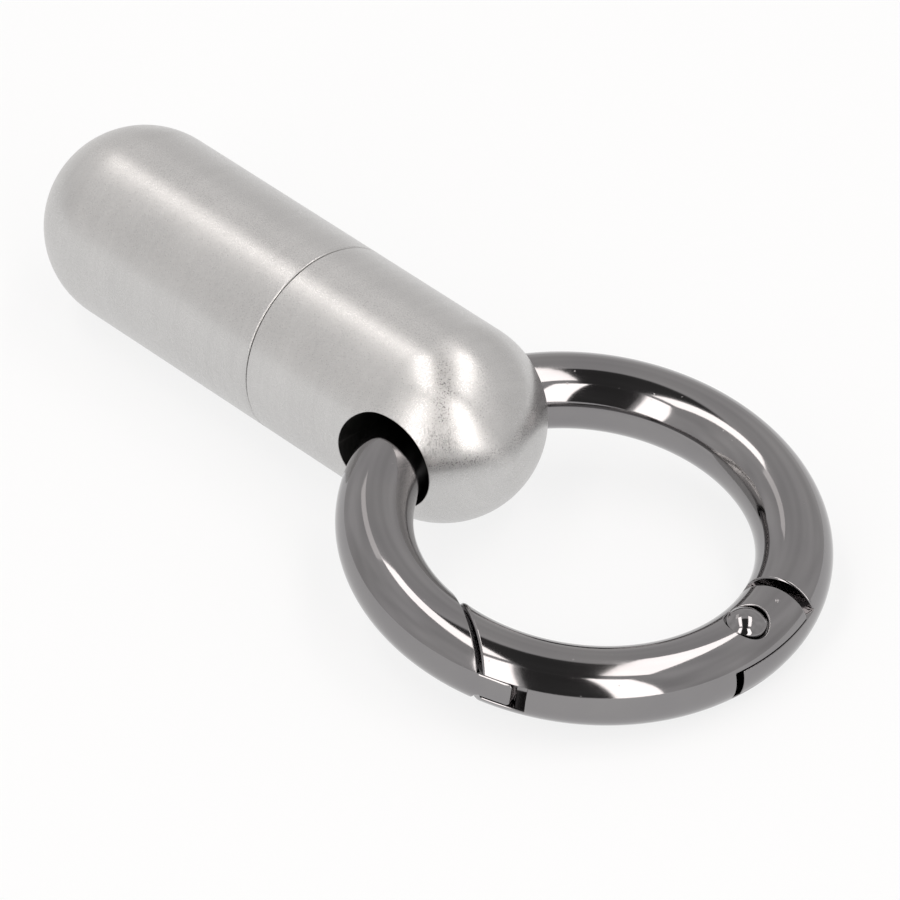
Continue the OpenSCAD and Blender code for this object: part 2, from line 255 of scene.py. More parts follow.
# Smooth normals
def shaded(piece, skin_normal):
    """The normal of each corner: the skin's own formula on the skin, soft across rounded edges."""
    mesh = piece.data
    faces = mesh.polygons
    faces.foreach_set("use_smooth", [True] * len(faces))
    around = [[] for _ in mesh.vertices]
    for face in faces:
        for v in face.vertices:
            around[v].append(face.index)
    index = [face.material_index for face in faces]
    flat = [face.normal.copy() for face in faces]
    areas = [face.area for face in faces]
    normals = [None] * len(mesh.loops)
    soft = {mark: math.cos(math.radians(angle)) for mark, angle in ((SKIN, 40), (CUT, 32), (EDGE, 70))}
    edge_to_cut = 0.2

    def average(v, face, mark, limit):
        """The mean normal of the faces at a corner that carry a mark and face much the same way."""
        total = Vector()
        for other in around[v]:
            if index[other] == mark and flat[other].dot(flat[face.index]) > limit:
                total += flat[other] * areas[other]
        return total.normalized() if total.length > 0 else None

    for face in faces:
        mark = index[face.index]
        for loop, v in zip(face.loop_indices, face.vertices):
            normal = None
            if mark == SKIN and skin_normal:
                normal = skin_normal(mesh.vertices[v].co, flat[face.index])
            elif mark == EDGE:
                on_skin = skin_normal and any(index[f] == SKIN for f in around[v])
                if on_skin:
                    normal = skin_normal(mesh.vertices[v].co, flat[face.index])
                else:
                    normal = average(v, face, CUT, edge_to_cut)
            if normal is None:
                normal = average(v, face, mark, soft[mark]) or flat[face.index]
            normals[loop] = normal
    return normals


def settle(piece, name, place, body, material, skin_normal=None, inner=None):
    """Puts a finished piece in the row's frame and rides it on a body. A second finish, if
    given, goes on the cut faces."""
    normals = shaded(piece, skin_normal)
    mesh = piece.data
    cut_faces = [face.material_index for face in mesh.polygons]
    mesh.transform(place)
    turn = place.to_3x3().normalized()
    mesh.normals_split_custom_set([turn @ n for n in normals])
    mesh.materials.clear()
    mesh.materials.append(material)
    mesh.polygons.foreach_set("material_index", [0] * len(mesh.polygons))
    if inner:
        mesh.materials.append(inner)
        mesh.polygons.foreach_set("material_index", [int(mark == CUT) for mark in cut_faces])
    piece.name = name
    mesh.name = name
    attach(piece, body)
    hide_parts(name.replace("_looks", ""))


# Capsule pieces
def dome(middle, radius, side, steps=40):
    """Points of a quarter round from its widest height to the pole, to the side given by a sign."""
    turns = [i * (math.pi / 2 / steps) for i in range(steps + 1)]
    return [(radius * math.cos(turn), middle + side * radius * math.sin(turn)) for turn in turns]


def capsule_normal(tip):
    """Normals of the outer skin of a half capsule, away from its pole. The tip is at a signed height."""
    side = math.copysign(1, tip)
    middle = tip - side * CAPSULE_R
    pole = 0.4

    def normal(point, flat):
        out = Vector((point.x, point.y, max(0.0, (point.z - middle) * side) * side))
        if flat.dot(out) < 0 or math.hypot(point.x, point.y) < pole:
            return None
        return out.normalized()
    return normal


def thread(radius, depth, start, end):
    """A right-hand thread ridge on a wall, running out at both ends. Depth is signed: out or in."""
    steps, least, sunk = 64, 0.02, 0.12
    foot = radius - sunk * math.copysign(1, depth)
    count = int(steps * (end - start) / THREAD_PITCH)
    sections = []
    for i in range(count + 1):
        turn = 2 * math.pi * i / steps
        height = start + THREAD_PITCH * i / steps
        grown = min(1.0, 3 * min(i, count - i) / steps + least)
        root = THREAD_ROOT * grown + least
        tip = radius + depth * grown
        out = Vector((math.cos(turn), math.sin(turn), 0))
        ridge = ((foot, -root), (radius, -root), (tip, -THREAD_CREST), (tip, THREAD_CREST), (radius, root),
                 (foot, root))
        sections.append([out * reach + Vector((0, 0, height + rise)) for reach, rise in ridge])
    return loft("thread", sections)


def make_pill_body():
    """The long half: a blind bore for pills, the neck with its thread, the seal's groove and the dome."""
    tip = -PILL_LEN
    middle = tip + CAPSULE_R
    ease = 0.07
    thread_start, thread_end = GROOVE_END + COLLAR_W + 0.75, NECK_LEN - 0.65
    points = [(0, middle - CAVITY_R)]
    points += dome(middle, CAVITY_R, -1, 16)[-2::-1]
    points += [(CAVITY_R, NECK_LEN - MOUTH_BREAK), (CAVITY_R + MOUTH_BREAK, NECK_LEN),
               (NECK_R - MOUTH_BREAK, NECK_LEN), (NECK_R, NECK_LEN - MOUTH_BREAK),
               (NECK_R, GROOVE_END + COLLAR_W), (COLLAR_R - ease, GROOVE_END + COLLAR_W),
               (COLLAR_R, GROOVE_END + COLLAR_W - ease), (COLLAR_R, GROOVE_END + ease),
               (COLLAR_R - ease, GROOVE_END), (GROOVE_R, GROOVE_END), (GROOVE_R, GROOVE_START),
               (COLLAR_R - ease, GROOVE_START), (COLLAR_R, GROOVE_START - ease), (COLLAR_R, -HALF_SEAM),
               (CAPSULE_R - SEAM_BREAK, -HALF_SEAM),
               (CAPSULE_R - SEAM_BREAK / 3, -HALF_SEAM - SEAM_BREAK / 3),
               (CAPSULE_R, -HALF_SEAM - SEAM_BREAK), (CAPSULE_R, (middle - HALF_SEAM) / 2)]
    points += dome(middle, CAPSULE_R, -1)
    body = turned("pill_body_looks", points, CAPSULE_STEPS)
    combine(body, thread(NECK_R, THREAD_DEPTH, thread_start, thread_end), 'UNION')
    settle(body, "pill_body_looks", ROW_FROM_CAPSULE, "pill_body", steel_pill, half_shade(tip))


def half_shade(tip):
    """Normals of a half capsule: the outer skin by formula, and everything inside by its own faces."""
    skin = capsule_normal(tip)
    near, square_on = 0.02, 0.97

    def normal(point, flat):
        wide = math.hypot(point.x, point.y)
        past = max(0.0, (point.z - tip + math.copysign(CAPSULE_R, tip)) * math.copysign(1, tip))
        out = Vector((point.x, point.y, math.copysign(past, tip))).normalized()
        if math.hypot(wide, past) < CAPSULE_R - near or abs(flat.normalized().dot(out)) < square_on:
            return None
        return skin(point, flat)
    return normal


def make_cap():
    """The short half: a bore for the neck with its thread, the dome, and the cross hole for the ring."""
    middle = CAP_LEN - CAPSULE_R
    ease = WIDE_BORE_R - BORE_R
    thread_start, thread_end = WIDE_BORE_END + ease + 0.35, BORE_DEPTH - 0.5
    points = [(0, BORE_DEPTH), (BORE_R, BORE_DEPTH), (BORE_R, WIDE_BORE_END + ease),
              (WIDE_BORE_R, WIDE_BORE_END), (WIDE_BORE_R, HALF_SEAM + SEAM_BREAK),
              (WIDE_BORE_R + SEAM_BREAK, HALF_SEAM), (CAPSULE_R - SEAM_BREAK, HALF_SEAM),
              (CAPSULE_R - SEAM_BREAK / 3, HALF_SEAM + SEAM_BREAK / 3), (CAPSULE_R, HALF_SEAM + SEAM_BREAK),
              (CAPSULE_R, middle / 2)]
    points += dome(middle, CAPSULE_R, 1)
    cap = turned("cap_looks", points, CAPSULE_STEPS)
    combine(cap, thread(BORE_R, -THREAD_DEPTH, thread_start, thread_end), 'UNION')
    across = Matrix.Translation((0, 0, HOLE_UP)) @ Matrix.Rotation(math.radians(90), 4, 'X')
    reach = CAPSULE_R + CLEAR
    cut(cap, rod(HOLE_R, -reach, reach, across, HOLE_STEPS))
    for side in (-1, 1):
        cut(cap, rounder(hole_rim(side), HOLE_ROUND, closed=True))
    # The cut faces (the cross hole's walls and the thread) take steel painted near black: painted shade
    # inside the hole
    settle(cap, "cap_looks", ROW_FROM_CAPSULE, "cap", steel_cap, half_shade(CAP_LEN),
           inner=steel_inside_painted_shade)


def hole_rim(side):
    """The edge where the cross hole leaves the cap on one side, with the skin's and the bore's normals."""
    edge = []
    middle = CAP_LEN - CAPSULE_R
    for i in range(HOLE_STEPS):
        turn = 2 * math.pi * i / HOLE_STEPS
        x, z = HOLE_R * math.cos(turn), HOLE_UP + HOLE_R * math.sin(turn)
        past = max(0.0, z - middle)
        y = side * math.sqrt(CAPSULE_R ** 2 - x ** 2 - past ** 2)
        inward = Vector((-math.cos(turn), 0, -math.sin(turn)))
        edge.append((Vector((x, y, z)), Vector((x, y, past)).normalized(), inward))
    return edge


def make_neck_seal():
    """A rubber ring with the fine moulding line round its outside and its inside."""
    sides, flash = 32, 0.025
    mid = (GROOVE_START + GROOVE_END) / 2
    points = []
    for i in range(sides + 1):
        turn = 2 * math.pi * i / sides
        reach = SEAL_R - flash + (flash if i % (sides // 2) == 0 else 0)
        points.append((SEAL_MID_R + reach * math.cos(turn), mid + reach * math.sin(turn)))
    seal = turned("neck_seal_looks", points, 128, CUT)
    settle(seal, "neck_seal_looks", ROW_FROM_CAPSULE, "neck_seal", rubber)


# Ring pieces
def polar(radius, angle, height=0.0):
    """A point from its radius and its angle round the ring, in degrees."""
    turn = math.radians(angle)
    return Vector((radius * math.cos(turn), radius * math.sin(turn), height))


def wire_point(angle, round_wire):
    """A point on the wire's skin: an angle along the ring and one round the wire, from its outer side."""
    turn = math.radians(round_wire)
    return polar(RING_R + WIRE_R * math.cos(turn), angle, WIRE_R * math.sin(turn))


def wire_normal(point, flat=None):
    """The wire's normal by formula. A skin's formula is also given the face's normal, not needed here."""
    spoke = Vector((point.x, point.y, 0)).normalized()
    return (point - spoke * RING_R).normalized()


# The slanted cut at the latch: its normal, its run seen from above, and how far it lies from the centre
CUT_TURN = math.radians(LATCH_SLANT - LATCH_A)
CUT_NORMAL = Vector((-math.sin(CUT_TURN), math.cos(CUT_TURN), 0))
CUT_ALONG = Vector((math.cos(CUT_TURN), math.sin(CUT_TURN), 0))
CUT_AT = polar(RING_R, -LATCH_A).dot(CUT_NORMAL)


def on_cut(along, off):
    """A point that lies along the slanted cut and off it, towards the hinge."""
    return (CUT_AT + off) * CUT_NORMAL + along * CUT_ALONG


def gate_share(off, hinge_a):
    """The gate's share of the ring, from beside the slanted cut to an angle at the hinge."""
    inner, outer = (RING_R - WIRE_R) / 2, 2 * (RING_R + WIRE_R)
    points = [on_cut(4, off), on_cut(outer, off), polar(outer, -LATCH_A / 2), polar(outer, 0),
              polar(outer, hinge_a), polar(inner, hinge_a), polar(inner, -LATCH_A / 2)]
    return prism([p.xy for p in points], -2 * WIRE_R, 2 * WIRE_R)


def tongue_share():
    """The tongue seen from above, with the flat and the two taken-off corners that face the plunger."""
    place = RING_FROM_PIVOT.inverted()
    end_r = RING_R + WIRE_R + CLEAR
    corner = place @ polar(end_r, TONGUE_END)
    heel = place @ polar(RING_R + CAM_CORNER / 2, TONGUE_END)
    inside = WIRE_R + CLEAR
    root_y = RING_R * math.sin(math.radians(SHOULDER - PIVOT_A)) + CLEAR
    points = [(corner.x, root_y), corner.xy, heel.xy, (-CAM_CORNER, -CAM_REACH),
              (-WIRE_R + CAM_CORNER, -CAM_REACH), (-inside, -CAM_REACH + 2 * CAM_CORNER), (-inside, root_y)]
    block = prism(points, -TONGUE_H, TONGUE_H)
    block.data.transform(RING_FROM_PIVOT)
    return block


# The lip's own frame: along the wire, up, and out from the ring's centre
LIP_MID_A = (LATCH_A + LIP_END) / 2
LIP_TIP = (RING_R + WIRE_R) * math.sin(math.radians((LATCH_A - LIP_END) / 2))
RING_FROM_LIP = (Matrix.Rotation(math.radians(-LIP_MID_A), 4, 'Z')
                 @ Matrix(((0, 0, 1, 0), (1, 0, 0, 0), (0, 1, 0, 0), (0, 0, 0, 1))))


def lip_outline(start_high, start_low):
    """The lip's free edge seen from outside: (along, up, outward normal), with two round corners."""
    steps = 6
    line = [(start_high, LIP_HIGH, 0.0, 1.0)]
    for middle_up, first in ((LIP_HIGH - LIP_CORNER, 90), (LIP_LOW + LIP_CORNER, 0)):
        for i in range(steps + 1):
            turn = math.radians(first - 90 * i / steps)
            line.append((LIP_TIP - LIP_CORNER + LIP_CORNER * math.cos(turn),
                         middle_up + LIP_CORNER * math.sin(turn), math.cos(turn), math.sin(turn)))
    line.append((start_low, LIP_LOW, 0.0, -1.0))
    return line


def lip_share():
    """What the frame keeps beyond the slanted cut: the lip, seen from outside, cut round on its inside."""
    line = [(along, up) for along, up, _, _ in lip_outline(-2 * LIP_TIP, -2 * LIP_TIP)]
    block = prism(line, RING_R, RING_R + 2 * WIRE_R)
    block.data.transform(RING_FROM_LIP)
    return cut(block, rod(LIP_IN_R, -2 * WIRE_R, 2 * WIRE_R, sides=256))


def lip_edge():
    """The edge of the lip's outer face, on the wire's skin."""
    edge = []
    for along, up, side, rise in lip_outline(start_high=0.02, start_low=0.12):
        reach = RING_R + math.sqrt(WIRE_R ** 2 - up ** 2)
        point = RING_FROM_LIP @ Vector((along, up, math.sqrt(reach ** 2 - along ** 2)))
        look = (RING_FROM_LIP.to_3x3() @ Vector((side, rise, 0))).normalized()
        edge.append((point, wire_normal(point), look))
    return edge


def across_wire(angle, start, end, facing, steps=48):
    """An edge round the wire at an angle of the ring. Facing is 1 for a face that looks forward."""
    look = facing * polar(1, angle + 90)
    points = [wire_point(angle, start + (end - start) * i / steps) for i in range(steps + 1)]
    return [(p, wire_normal(p), look) for p in points]


def slanted(off, start, end, facing, steps=96):
    """An edge round the wire where the slanted cut crosses it."""
    middle = math.degrees(math.atan2(CUT_NORMAL.y, CUT_NORMAL.x))
    edge = []
    for i in range(steps + 1):
        turn = start + (end - start) * i / steps
        reach = RING_R + WIRE_R * math.cos(math.radians(turn))
        angle = middle - math.degrees(math.acos((CUT_AT + off) / reach))
        point = wire_point(angle, turn)
        edge.append((point, wire_normal(point), facing * CUT_NORMAL))
    return edge


def along_wire(height, side, start, end, facing, steps=24):
    """An edge along the ring on the wire's outer (1) or inner (-1) side. Facing is 1 for upwards."""
    reach = RING_R + side * math.sqrt(WIRE_R ** 2 - height ** 2)
    points = [polar(reach, start + (end - start) * i / steps, height) for i in range(steps + 1)]
    return [(p, wire_normal(p), Vector((0, 0, facing))) for p in points]


def recess_rim(side, steps=64):
    """The rim of a rivet's recess, on the top (1) or the bottom (-1) of the wire."""
    edge = []
    for i in range(steps):
        turn = 2 * math.pi * i / steps
        out = Vector((math.cos(turn), math.sin(turn), 0))
        point = PIVOT + RECESS_R * out
        point.z = side * math.sqrt(WIRE_R ** 2 - (point.xy.length - RING_R) ** 2)
        edge.append((point, wire_normal(point), -out))
    return edge


def wire_ring(name):
    """The whole round wire, before it is shared out."""
    bpy.ops.mesh.primitive_torus_add(major_radius=RING_R, minor_radius=WIRE_R,
                                     major_segments=288, minor_segments=80)
    return new_piece(name, SKIN)


def round_at(height):
    """The angle round the wire, from its outer side, at a height."""
    return math.degrees(math.asin(height / WIRE_R))


FORK_TURN, TONGUE_TURN = round_at(FORK_H), round_at(TONGUE_H)


def make_ring_frame():
    """The wire without the gate's share, but with the tongue at the hinge and the lip at the latch."""
    # How far the latch's rounded edge stops short of the lip, and the tongue's of the shoulder, in degrees
    short, shy = 1, 0.1
    ring = wire_ring("ring_frame_looks")
    opening = cut(gate_share(-LATCH_GAP / 2, SHOULDER), tongue_share(), lip_share())
    cut(ring, opening, rod(RIVET_R + FRAME_PLAY, -WIRE_R, WIRE_R, RING_FROM_PIVOT))
    for start in (FORK_TURN, 180 + FORK_TURN):
        cut(ring, rounder(across_wire(SHOULDER, start, start + 180 - 2 * FORK_TURN, -1), SHOULDER_ROUND))
    latch = slanted(-LATCH_GAP / 2, round_at(LIP_HIGH) + short, (360 - short) + round_at(LIP_LOW), 1)
    cut(ring, rounder(latch, LATCH_ROUND))
    cut(ring, rounder(lip_edge(), LIP_ROUND))
    for facing in (-1, 1):
        side = along_wire(facing * TONGUE_H, 1, TONGUE_END, SHOULDER - shy, facing)
        cut(ring, rounder(side, TONGUE_SIDE_ROUND))
    cut(ring, rounder(across_wire(TONGUE_END, -TONGUE_TURN, TONGUE_TURN, -1, 16), TONGUE_END_ROUND))
    settle(ring, "ring_frame_looks", ROW_FROM_RING, "ring_frame", plate, wire_normal)


def lip_pocket():
    """The room that the gate leaves for the lip."""
    reach = 2 * (RING_R + WIRE_R)
    points = [Vector((0, 0, 0)), polar(reach, -LATCH_A - 2 * LATCH_SLANT / 3), polar(reach, -LATCH_A),
              polar(reach, -POCKET_END)]
    block = prism([p.xy for p in points], POCKET_LOW, POCKET_HIGH)
    return cut(block, rod(POCKET_IN_R, -2 * WIRE_R, 2 * WIRE_R, sides=256))


def fork():
    """The slot between the gate's two ears."""
    reach = 2 * (RING_R + WIRE_R)
    points = [Vector((0, 0, 0)), polar(reach, FORK_END), polar(reach, SHOULDER), polar(reach, 2 * SHOULDER)]
    return prism([p.xy for p in points], -FORK_H, FORK_H)


def casting_nub(angle, round_wire):
    """The small smooth pimple that the mould left on an ear, part of a ball set into the skin."""
    at = wire_point(angle, round_wire)
    at += wire_normal(at) * (NUB_PROUD - NUB_BALL)
    bpy.ops.mesh.primitive_uv_sphere_add(segments=32, ring_count=20, radius=NUB_BALL, location=at)
    return new_piece("nub")


def make_ring_gate():
    """The gate's share of the wire, with fork, rivet recesses, spring bore and lip pocket cut into it."""
    # How far rounded edges run past their faces, and where the pocket's long edges start, in degrees
    ear_lap, cheek_lap, fork_lap, top_mouth, low_mouth = 2, 1, 0.5, -66.8, -66.6
    gate = combine(wire_ring("ring_gate_looks"), gate_share(LATCH_GAP / 2, EAR_END), 'INTERSECT')
    cut(gate, fork(), lip_pocket(), rod(RIVET_R + GATE_PLAY, -WIRE_R, WIRE_R, RING_FROM_PIVOT))
    cut(gate, rod(RECESS_R, RECESS_FLOOR, WIRE_R + CLEAR, RING_FROM_PIVOT, 96))
    cut(gate, rod(RECESS_R, -WIRE_R - CLEAR, -RECESS_FLOOR, RING_FROM_PIVOT, 96))
    cut(gate, rod(SPRING_BORE_R, 0, BORE_REACH, RING_FROM_BORE))
    for start in (FORK_TURN, 180 + FORK_TURN):
        ear = across_wire(EAR_END, start - ear_lap, start + (180 + ear_lap) - 2 * FORK_TURN, 1)
        cut(gate, rounder(ear, EAR_ROUND))
    cheek = slanted(LATCH_GAP / 2, round_at(POCKET_HIGH) - cheek_lap,
                    (360 + cheek_lap) + round_at(POCKET_LOW), -1)
    cut(gate, rounder(cheek, CHEEK_ROUND))
    for height, facing, start, radius in ((POCKET_HIGH, -1, top_mouth, POCKET_TOP_ROUND),
                                          (POCKET_LOW, 1, low_mouth, POCKET_ROUND)):
        cut(gate, rounder(along_wire(height, 1, start, -POCKET_END, facing, 12), radius))
    pocket_end = across_wire(-POCKET_END, round_at(POCKET_LOW), round_at(POCKET_HIGH), -1, 16)
    cut(gate, rounder(pocket_end, POCKET_ROUND))
    for facing in (-1, 1):
        side = along_wire(-facing * FORK_H, 1, FORK_END, EAR_END + fork_lap, facing)
        cut(gate, rounder(side, FORK_ROUND))
        cut(gate, rounder(recess_rim(facing), RECESS_ROUND, closed=True))
    for middle in (0, 180):
        end = across_wire(FORK_END, middle - FORK_TURN, middle + FORK_TURN, 1, 16)
        cut(gate, rounder(end, FORK_ROUND))
    combine(gate, casting_nub(NUB_A, NUB_TURN), 'UNION')
    settle(gate, "ring_gate_looks", ROW_FROM_RING, "ring_gate", plate, wire_normal)


def rivet_head(top, rise):
    """Half the outline of a rivet from the top of a domed head, a little rounded at the rim."""
    ball = (HEAD_R ** 2 + rise ** 2) / (2 * rise)
    soft, steps = 0.1, 16
    edge_turn = math.asin((HEAD_R - soft) / ball)
    turns = [edge_turn * i / steps for i in range(steps + 1)]
    points = [(ball * math.sin(turn), top - ball + ball * math.cos(turn)) for turn in turns]
    rim = points[-1][1]
    return points + [(HEAD_R - soft / 4, rim - soft / 2), (HEAD_R, rim - 1.4 * soft),
                     (HEAD_R, RECESS_FLOOR + HEAD_PLAY), (RIVET_R, RECESS_FLOOR + HEAD_PLAY)]


def make_hinge_rivet():
    """Two domed heads, the upper one higher, on a plain shank."""
    tail = [(radius, -height) for radius, height in rivet_head(TAIL_HEAD_TOP, TAIL_HEAD_RISE)]
    rivet = turned("hinge_rivet_looks", rivet_head(HEAD_TOP, HEAD_RISE) + tail[::-1], 96, CUT)
    settle(rivet, "hinge_rivet_looks", ROW_FROM_RING @ RING_FROM_PIVOT, "ring_gate", plate)


def make_plunger():
    """A round-ended pin with a tail for the spring, drawn from its tip along the bore."""
    steps, ease = 12, 0.06
    turns = [math.pi / 2 * i / steps for i in range(steps + 1)]
    round_end = PLUNGER_TIP + PLUNGER_R
    points = [(PLUNGER_R * math.sin(turn), round_end - PLUNGER_R * math.cos(turn)) for turn in turns]
    back, tail = PLUNGER_TIP + PLUNGER_HEAD, PLUNGER_TIP + PLUNGER_HEAD + TAIL_LEN
    points += [(PLUNGER_R, back - ease), (PLUNGER_R - ease, back), (TAIL_R, back), (TAIL_R, tail - ease),
               (TAIL_R - ease, tail), (0, tail)]
    pin = turned("spring_plunger_looks", points, 48, CUT)
    settle(pin, "spring_plunger_looks", ROW_FROM_RING @ RING_FROM_BORE, "plunger", wire)


def make_gate_spring():
    """A round-wire spring whose end turns lie close."""
    curls, steps, sides = 5, 28, 14
    wire_d = 2 * SPRING_WIRE_R
    low, high = SPRING_FROM + SPRING_WIRE_R, SPRING_TO - SPRING_WIRE_R
    free = high - low - 2 * wire_d
    line = []
    for i in range((curls + 2) * steps + 1):
        turns = i / steps
        height = low + wire_d * min(turns, 1) + free * min(max(turns - 1, 0), curls) / curls
        height += wire_d * max(turns - 1 - curls, 0)
        angle = 2 * math.pi * turns
        line.append(Vector((COIL_R * math.cos(angle), COIL_R * math.sin(angle), height)))
    sections = []
    for i, point in enumerate(line):
        along = (line[min(i + 1, len(line) - 1)] - line[max(i - 1, 0)]).normalized()
        out = Vector((point.x, point.y, 0)).normalized()
        up = along.cross(out)
        turns = [2 * math.pi * k / sides for k in range(sides)]
        sections.append([point + SPRING_WIRE_R * (math.cos(t) * out + math.sin(t) * up) for t in turns])
    spring = loft("gate_spring_looks", sections)
    place = ROW_FROM_RING @ RING_FROM_BORE
    settle(spring, "gate_spring_looks", place, "ring_gate", wire)
    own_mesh(spring)


# Finishes: the plain colour of each metal, and the darker and paler tones that it runs between
STEEL, STEEL_DARK, STEEL_PALE = (0.58, 0.574, 0.57), (0.55, 0.544, 0.538), (0.62, 0.613, 0.606)
SCUFFED_STEEL = (0.22, 0.218, 0.215)
PLATING, PLATING_DARK, PLATING_PALE = (0.265, 0.256, 0.26), (0.254, 0.246, 0.251), (0.276, 0.268, 0.269)
# Steel inside the cap painted near black, as painted shade for the dark inside of the cross hole
BORE_PAINTED_SHADE, BORE_PAINTED_SHADE_DARK, BORE_PAINTED_SHADE_PALE = (0.10, 0.098, 0.095), (0.08, 0.079, 0.077), (0.13, 0.128, 0.124)
WIRE, WIRE_DARK, WIRE_PALE = (0.55, 0.54, 0.53), (0.50, 0.49, 0.48), (0.60, 0.59, 0.58)
RUBBER_DARK, RUBBER_PALE = (0.017, 0.017, 0.018), (0.03, 0.03, 0.031)
# Where the scuff lies on the cap's dome, in the row's frame
SCUFF_AT = (0.0090, -0.00485, 0.0108)


class Nodes:
    """Short calls for adding and joining shader nodes in one tree."""

    def __init__(self, tree):
        self.tree = tree

    def add(self, kind, **settings):
        made = self.tree.nodes.new(kind)
        for key, value in settings.items():
            setattr(made, key, value)
        return made

    def feed(self, socket, value):
        if isinstance(value, bpy.types.NodeSocket):
            self.tree.links.new(value, socket)
        else:
            socket.default_value = value

    def math(self, operation, *values):
        made = self.add("ShaderNodeMath", operation=operation)
        for socket, value in zip(made.inputs, values):
            self.feed(socket, value)
        return made.outputs[0]

    def vector(self, operation, *values):
        made = self.add("ShaderNodeVectorMath", operation=operation)
        for socket, value in zip(made.inputs, values):
            self.feed(socket, value)
        return made.outputs["Value" if operation == 'DISTANCE' else "Vector"]

    def noise(self, vector, scale, detail, rough=0.5):
        made = self.add("ShaderNodeTexNoise")
        self.feed(made.inputs["Vector"], vector)
        self.feed(made.inputs["Scale"], scale)
        made.inputs["Detail"].default_value = detail
        made.inputs["Roughness"].default_value = rough
        return made.outputs[0]

    def spread(self, value, low, high, to_low=0.0, to_high=1.0, soft=False):
        """Maps the run from low to high onto the run from to_low to to_high, and holds it at the ends."""
        made = self.add("ShaderNodeMapRange", interpolation_type='SMOOTHSTEP' if soft else 'LINEAR')
        for socket, given in zip(made.inputs, (value, low, high, to_low, to_high)):
            self.feed(socket, given)
        return made.outputs[0]

    def bump(self, height, distance):
        made = self.add("ShaderNodeBump")
        self.feed(made.inputs["Height"], height)
        made.inputs["Strength"].default_value = 1.0
        made.inputs["Distance"].default_value = distance
        return made.outputs[0]

    def place(self):
        """The point on the piece, in metres in the row's frame."""
        return self.add("ShaderNodeTexCoord").outputs["Object"]


def group(name, inputs, outputs):
    """An empty shader node group with named sockets, and its input and output nodes."""
    tree = bpy.data.node_groups.new(name, "ShaderNodeTree")
    for socket, default in inputs.items():
        made = tree.interface.new_socket(socket, in_out='INPUT', socket_type='NodeSocketFloat')
        made.default_value = default
    for socket in outputs:
        tree.interface.new_socket(socket, in_out='OUTPUT', socket_type='NodeSocketFloat')
    nodes = Nodes(tree)
    return nodes, nodes.add("NodeGroupInput"), nodes.add("NodeGroupOutput")


def use(nodes, tree, **values):
    """Places a node group in a material with its own values."""
    made = nodes.add("ShaderNodeGroup", node_tree=tree)
    for key, value in values.items():
        nodes.feed(made.inputs[key], value)
    return made


def turned_grain():
    """Fine lines left by the lathe's cloth, round the capsule's axis. End is -1 or 1 for the dome's side."""
    settings = {"End": 1.0, "Fine": 9000.0, "Round": 260.0}
    nodes, given, out = group("turned_grain", settings, ["Height", "Tone"])
    centred = nodes.vector('SUBTRACT', nodes.place(), tuple(SEAM))
    split = nodes.add("ShaderNodeSeparateXYZ")
    nodes.feed(split.inputs[0], centred)
    x, y, z = split.outputs
    wide = nodes.math('SQRT', nodes.math('ADD', nodes.math('MULTIPLY', y, y), nodes.math('MULTIPLY', z, z)))
    run = nodes.math('SUBTRACT', x, nodes.math('MULTIPLY', given.outputs["End"], wide))
    line = nodes.add("ShaderNodeCombineXYZ")
    nodes.feed(line.inputs[0], nodes.math('MULTIPLY', run, given.outputs["Fine"]))
    nodes.feed(line.inputs[1], nodes.math('MULTIPLY', y, given.outputs["Round"]))
    nodes.feed(line.inputs[2], nodes.math('MULTIPLY', z, given.outputs["Round"]))
    fine = nodes.noise(line.outputs[0], scale=1.0, detail=3.0, rough=0.65)
    broad = nodes.vector('MULTIPLY', line.outputs[0], (0.11, 0.6, 0.6))
    slow = nodes.noise(broad, scale=1.0, detail=2.0)
    nodes.feed(out.inputs["Height"], nodes.math('ADD', fine, nodes.math('MULTIPLY', slow, 0.5)))
    nodes.feed(out.inputs["Tone"], nodes.math('MULTIPLY', fine, slow))
    return nodes.tree


def fine_marks():
    """Hairline scratches in two directions, and tiny pits, as handling leaves them."""
    nodes, given, out = group("fine_marks", {"Size": 1.0}, ["Lines", "Pits"])
    place = nodes.place()
    lines = []
    for turn, stretch in ((0.5, (300.0, 6500.0, 900.0)), (-0.9, (5200.0, 260.0, 1100.0))):
        rotated = nodes.add("ShaderNodeMapping")
        nodes.feed(rotated.inputs["Vector"], place)
        rotated.inputs["Rotation"].default_value = (turn * 0.6, turn, turn)
        rotated.inputs["Scale"].default_value = stretch
        streaks = nodes.noise(rotated.outputs[0], scale=given.outputs["Size"], detail=1.0)
        lines.append(nodes.spread(streaks, 0.69, 0.76))
    nodes.feed(out.inputs["Lines"], nodes.math('MAXIMUM', *lines))
    spots = nodes.add("ShaderNodeTexVoronoi")
    nodes.feed(spots.inputs["Vector"], place)
    nodes.feed(spots.inputs["Scale"], nodes.math('MULTIPLY', given.outputs["Size"], 700.0))
    nodes.feed(out.inputs["Pits"], nodes.spread(spots.outputs["Distance"], 0.03, 0.09, 1.0, 0.0, soft=True))
    return nodes.tree


def dome_scuff():
    """The scuff on the front of the cap's dome: tight short scratches that fade out round it."""
    nodes, _, out = group("dome_scuff", {}, ["Scuff"])
    place = nodes.place()
    away = nodes.vector('DISTANCE', place, SCUFF_AT)
    near = nodes.spread(away, 0.0006, 0.0021, 1.0, 0.0, soft=True)
    lean = nodes.add("ShaderNodeMapping")
    nodes.feed(lean.inputs["Vector"], place)
    lean.inputs["Rotation"].default_value = (0.35, -0.35, 0)
    lean.inputs["Scale"].default_value = (7500.0, 7500.0, 700.0)
    lines = nodes.spread(nodes.noise(lean.outputs[0], scale=1.0, detail=2.0), 0.5, 0.68)
    nodes.feed(out.inputs["Scuff"], nodes.math('MULTIPLY', near, lines))
    return nodes.tree


